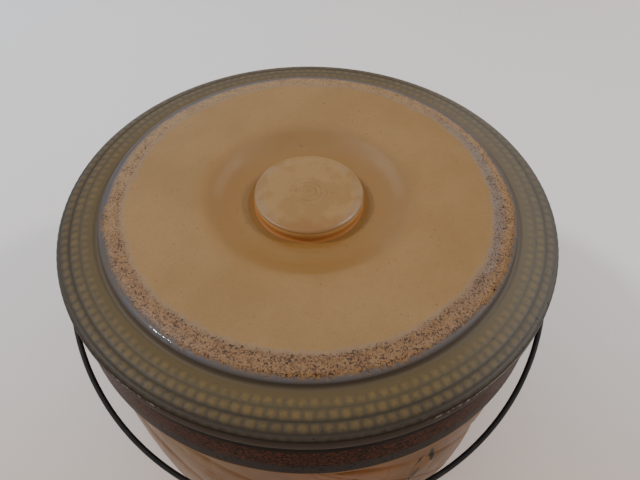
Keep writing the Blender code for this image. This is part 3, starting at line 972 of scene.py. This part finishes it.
def build_bail():
    reach_axis = Vector((0.0, -math.cos(BAIL_REST_ANGLE), -math.sin(BAIL_REST_ANGLE)))
    curve = bpy.data.curves.new("bail_path", "CURVE")
    curve.dimensions = "3D"
    curve.bevel_depth = WIRE_RADIUS
    curve.bevel_resolution = 6
    curve.use_fill_caps = True
    spline = curve.splines.new("POLY")
    path = bail_path()
    spline.points.add(len(path) - 1)
    for point, (across, reach) in zip(spline.points, path):
        place = PIVOT + Vector((across, 0.0, 0.0)) + reach_axis * reach
        point.co = (*place, 1.0)
    guide = bpy.data.objects.new("bail_guide", curve)
    bpy.context.scene.collection.objects.link(guide)
    depsgraph = bpy.context.evaluated_depsgraph_get()
    mesh = bpy.data.meshes.new_from_object(guide.evaluated_get(depsgraph))
    bpy.data.objects.remove(guide)
    shape = bmesh.new()
    shape.from_mesh(mesh)
    bmesh.ops.remove_doubles(shape, verts=shape.verts, dist=0.000002)
    bmesh.ops.recalc_face_normals(shape, faces=shape.faces)
    shape.to_mesh(mesh)
    shape.free()
    mesh.shade_smooth()
    mesh.set_sharp_from_angle(angle=math.radians(50))
    wire = bpy.data.objects.new("bail_lacquered", mesh)
    bpy.context.scene.collection.objects.link(wire)
    mesh.materials.clear()
    mesh.materials.append(wire_lacquer())
    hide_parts("bail_wire")
    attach(wire, "bail")
    return wire


# ---------------------------------------------------------------- stage, lights and camera

def build_stage():
    """A pale floor that turns up into a pale wall behind the crock, with painted light towards the far left
    and painted shade behind the middle.
    """
    half_width = 1.6
    wall_distance = 0.95
    outline = [(-1.6, 0.0), (wall_distance - 0.12, 0.0)]
    outline += arc((wall_distance - 0.12, 0.12), 0.12, -90, 0, 12)[1:]
    outline += [(wall_distance, 1.6)]
    points = []
    for across in (-half_width, half_width):
        points += [(across, depth, height) for depth, height in outline]
    count = len(outline)
    faces = [(i, i + count, i + count + 1, i + 1) for i in range(count - 1)]
    mesh = bpy.data.meshes.new("floor")
    mesh.from_pydata(points, [], faces)
    mesh.shade_smooth()
    floor = bpy.data.objects.new("floor", mesh)
    bpy.context.scene.collection.objects.link(floor)
    shader = Shader("pale_paper")
    x, y, _ = shader.axes()
    tone = shader.mix(shader.noise(3.0, 2.0), PAPER, PAPER_CLOUD)
    tone = shader.mix(shader.span(y, 0.05, -0.20), tone, PAPER_NEAR)
    # Painted shade: the wall behind the middle is darker and browner, standing in for the dimmer light
    # between the two side lights.
    near_middle = shader.span(shader.math("ABSOLUTE", x), 0.5, 0.2)
    behind = shader.math("MULTIPLY", shader.span(y, 0.35, 0.75), near_middle)
    tone = shader.mix(behind, tone, PAPER_BEHIND_SHADE)
    # Painted light: the floor and wall are paler towards the far left, standing in for the brighter light
    # on that side.
    shade = shader.math("MULTIPLY", shader.span(x, 0.3, -0.6), shader.span(y, -0.1, 0.5))
    tone = shader.mix(shade, tone, PAPER_FAR_LEFT_LIGHT)
    shader.set("Base Color", tone)
    shader.set("Roughness", 0.75)
    mesh.materials.append(shader.material)


def add_area_light(name, place, target, size, watts, tint):
    light = bpy.data.lights.new(name, "AREA")
    light.shape = "RECTANGLE"
    light.size, light.size_y = size
    light.energy = watts
    light.color = tint
    lamp = bpy.data.objects.new(name, light)
    bpy.context.scene.collection.objects.link(lamp)
    lamp.location = place
    aim = Vector(target) - Vector(place)
    lamp.rotation_euler = aim.to_track_quat("-Z", "Y").to_euler()


def build_lights():
    """Even light from all round, dimmer from the front, and a small bright window on each side."""
    world = bpy.data.worlds.new("room")
    world.use_nodes = True
    tree = world.node_tree
    background = tree.nodes["Background"]
    background.inputs["Color"].default_value = (0.84, 0.86, 0.90, 1.0)
    direction = tree.nodes.new("ShaderNodeTexCoord").outputs["Generated"]
    axes = tree.nodes.new("ShaderNodeSeparateXYZ")
    tree.links.new(direction, axes.inputs[0])
    fade = tree.nodes.new("ShaderNodeMapRange")
    fade.interpolation_type = "SMOOTHSTEP"
    tree.links.new(axes.outputs["Y"], fade.inputs["Value"])
    fade.inputs["From Min"].default_value = -1.0
    fade.inputs["From Max"].default_value = 0.4
    fade.inputs["To Min"].default_value = 0.41
    fade.inputs["To Max"].default_value = 1.02
    tree.links.new(fade.outputs["Result"], background.inputs["Strength"])
    bpy.context.scene.world = world
    middle = (0.0, 0.0, 0.10)
    add_area_light("left_window", (-0.90, 0.02, 1.17), middle, (0.12, 0.16), 8.5, (0.96, 0.98, 1.0))
    add_area_light("right_window", (0.95, 0.02, 1.05), middle, (0.12, 0.16), 6.0, (1.0, 0.98, 0.95))


def build_camera():
    """The viewing angle: close above the crock's front, looking down at the lid."""
    scale = LID_RADIUS
    plane = LID_PLANE
    eye = Vector((0.0093 * scale, -1.6838 * scale, plane + 1.7360 * scale))
    aim = Vector((0.0427 * scale, -0.1973 * scale, plane))
    roll = math.radians(0.79)
    data = bpy.data.cameras.new("camera")
    data.lens = 32.91
    data.sensor_width = 36.0
    data.clip_start = 0.005
    camera = bpy.data.objects.new("camera", data)
    bpy.context.scene.collection.objects.link(camera)
    rotation = (aim - eye).to_track_quat("-Z", "Y").to_matrix().to_4x4()
    camera.matrix_world = Matrix.Translation(eye) @ rotation @ Matrix.Rotation(roll, 4, "Z")
    bpy.context.scene.camera = camera


build_camera()
build_stage()
build_lights()
build_crock()
build_lid()
build_bail()
